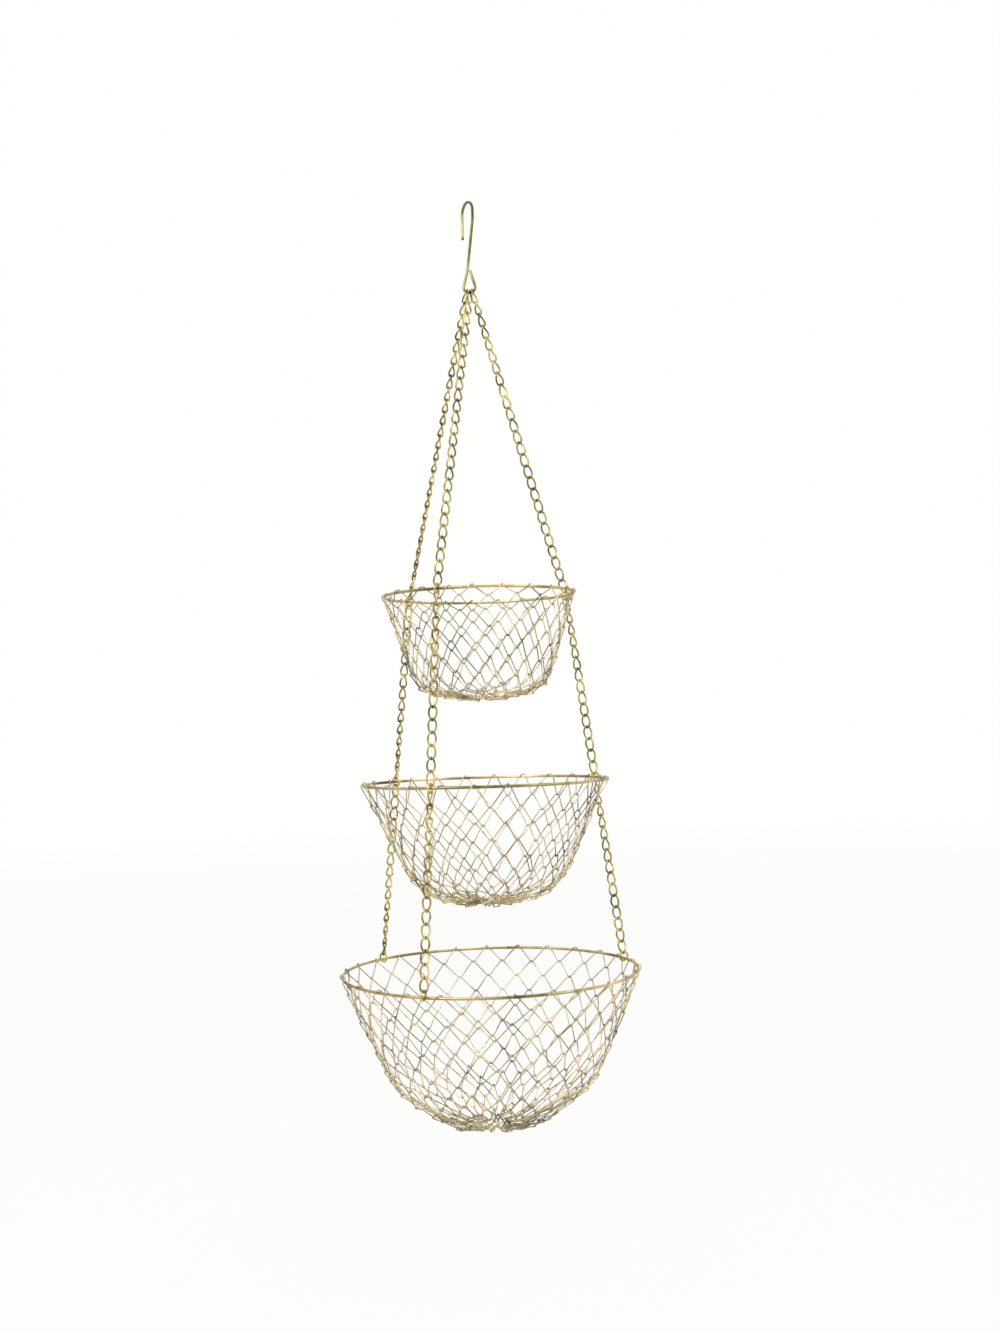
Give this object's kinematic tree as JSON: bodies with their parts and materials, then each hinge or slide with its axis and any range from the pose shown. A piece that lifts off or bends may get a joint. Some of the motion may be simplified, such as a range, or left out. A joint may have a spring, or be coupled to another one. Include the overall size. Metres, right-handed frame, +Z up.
{
  "type": "tiered hanging wire fruit basket",
  "caption": "Tiered hanging fruit basket: round wire rims with collapsible linked-wire nets, growing in size downwards, hung on curb chains from a wire hook.",
  "frame": {"origin": "point at the top inside of the hook's bight, where it bears on what it hangs from", "axes": "+Z up, -Y to the front, +X to the right as seen from the front"},
  "size_m": [0.2861, 0.2864, 0.8828],
  "materials": {
    "hook_wire": "bright drawn wire, lightly aged",
    "chain": "bright plated links",
    "jump_ring": "bright",
    "rim_wire": "bright drawn wire",
    "net_wire": "satin drawn wire"
  },
  "bodies": {
    "hook": {"ceiling_hook": "hook_wire"},
    "top_basket": {"top_chain_front": "chain", "top_chain_right": "chain", "top_chain_back": "chain", "top_ring_front": "jump_ring", "top_ring_right": "jump_ring", "top_ring_back": "jump_ring", "top_rim": "rim_wire", "top_net_row_1": "net_wire", "top_net_row_2": "net_wire", "top_net_row_3": "net_wire", "top_net_row_4": "net_wire", "top_net_row_5": "net_wire"},
    "top_base": {"top_net_base": "net_wire"},
    "middle_chain_front": {"middle_chain_front": "chain"},
    "middle_chain_right": {"middle_chain_right": "chain"},
    "middle_chain_back": {"middle_chain_back": "chain"},
    "middle_basket": {"middle_ring_front": "jump_ring", "middle_ring_right": "jump_ring", "middle_ring_back": "jump_ring", "middle_rim": "rim_wire", "middle_net_row_1": "net_wire", "middle_net_row_2": "net_wire", "middle_net_row_3": "net_wire", "middle_net_row_4": "net_wire", "middle_net_row_5": "net_wire"},
    "middle_base": {"middle_net_base": "net_wire"},
    "bottom_chain_front": {"bottom_chain_front": "chain"},
    "bottom_chain_right": {"bottom_chain_right": "chain"},
    "bottom_chain_back": {"bottom_chain_back": "chain"},
    "bottom_basket": {"bottom_ring_front": "jump_ring", "bottom_ring_right": "jump_ring", "bottom_ring_back": "jump_ring", "bottom_rim": "rim_wire", "bottom_net_row_1": "net_wire", "bottom_net_row_2": "net_wire", "bottom_net_row_3": "net_wire", "bottom_net_row_4": "net_wire", "bottom_net_row_5": "net_wire", "bottom_net_row_6": "net_wire"},
    "bottom_base": {"bottom_net_base": "net_wire"}
  },
  "joints": [
    {"name": "basket_swing", "type": "hinge", "parent": "hook", "child": "top_basket", "pos_m": [0, 0, -0.08402], "axis": [1, 0, 0], "range_deg": [-25, 25]},
    {"name": "top_net_lift", "type": "slide", "parent": "top_basket", "child": "top_base", "axis": [0, 0, 1], "range_m": [0, 0.055], "deforming": ["top_net_row_1", "top_net_row_2", "top_net_row_3", "top_net_row_4", "top_net_row_5"]},
    {"name": "middle_sway", "type": "hinge", "parent": "top_basket", "child": "middle_chain_front", "pos_m": [-0.0368, -0.08266, -0.37538], "axis": [0, 1, 0], "range_deg": [-8, 8]},
    {"name": "middle_level", "type": "hinge", "parent": "middle_chain_front", "child": "middle_basket", "pos_m": [-0.04658, -0.10461, -0.54614], "axis": [0, 1, 0], "range_deg": [-6.4, 6.4]},
    {"name": "middle_sway_right", "type": "hinge", "parent": "top_basket", "child": "middle_chain_right", "pos_m": [0.08447, 0.03243, -0.37538], "axis": [0, 1, 0], "range_deg": [-8, 8]},
    {"name": "middle_sway_back", "type": "hinge", "parent": "top_basket", "child": "middle_chain_back", "pos_m": [-0.07032, 0.05694, -0.37538], "axis": [0, 1, 0], "range_deg": [-8, 8]},
    {"name": "middle_net_lift", "type": "slide", "parent": "middle_basket", "child": "middle_base", "axis": [0, 0, 1], "range_m": [0, 0.057], "deforming": ["middle_net_row_1", "middle_net_row_2", "middle_net_row_3", "middle_net_row_4", "middle_net_row_5"]},
    {"name": "bottom_sway", "type": "hinge", "parent": "middle_basket", "child": "bottom_chain_front", "pos_m": [-0.04697, -0.1055, -0.55302], "axis": [0, 1, 0], "range_deg": [-8, 8]},
    {"name": "bottom_level", "type": "hinge", "parent": "bottom_chain_front", "child": "bottom_basket", "pos_m": [-0.05675, -0.12745, -0.72379], "axis": [0, 1, 0], "range_deg": [-6.7, 6.7]},
    {"name": "bottom_sway_right", "type": "hinge", "parent": "middle_basket", "child": "bottom_chain_right", "pos_m": [0.10781, 0.04139, -0.55302], "axis": [0, 1, 0], "range_deg": [-8, 8]},
    {"name": "bottom_sway_back", "type": "hinge", "parent": "middle_basket", "child": "bottom_chain_back", "pos_m": [-0.08975, 0.07268, -0.55302], "axis": [0, 1, 0], "range_deg": [-8, 8]},
    {"name": "bottom_net_lift", "type": "slide", "parent": "bottom_basket", "child": "bottom_base", "axis": [0, 0, 1], "range_m": [0, 0.063], "deforming": ["bottom_net_row_1", "bottom_net_row_2", "bottom_net_row_3", "bottom_net_row_4", "bottom_net_row_5", "bottom_net_row_6"]}
  ],
  "couplings": [
    {"joint": "middle_level", "follows": "middle_sway", "ratio": -0.79015},
    {"joint": "middle_sway_right", "follows": "middle_sway", "ratio": 1},
    {"joint": "middle_sway_back", "follows": "middle_sway", "ratio": 1},
    {"joint": "bottom_level", "follows": "bottom_sway", "ratio": -0.82775},
    {"joint": "bottom_sway_right", "follows": "bottom_sway", "ratio": 1},
    {"joint": "bottom_sway_back", "follows": "bottom_sway", "ratio": 1}
  ]
}
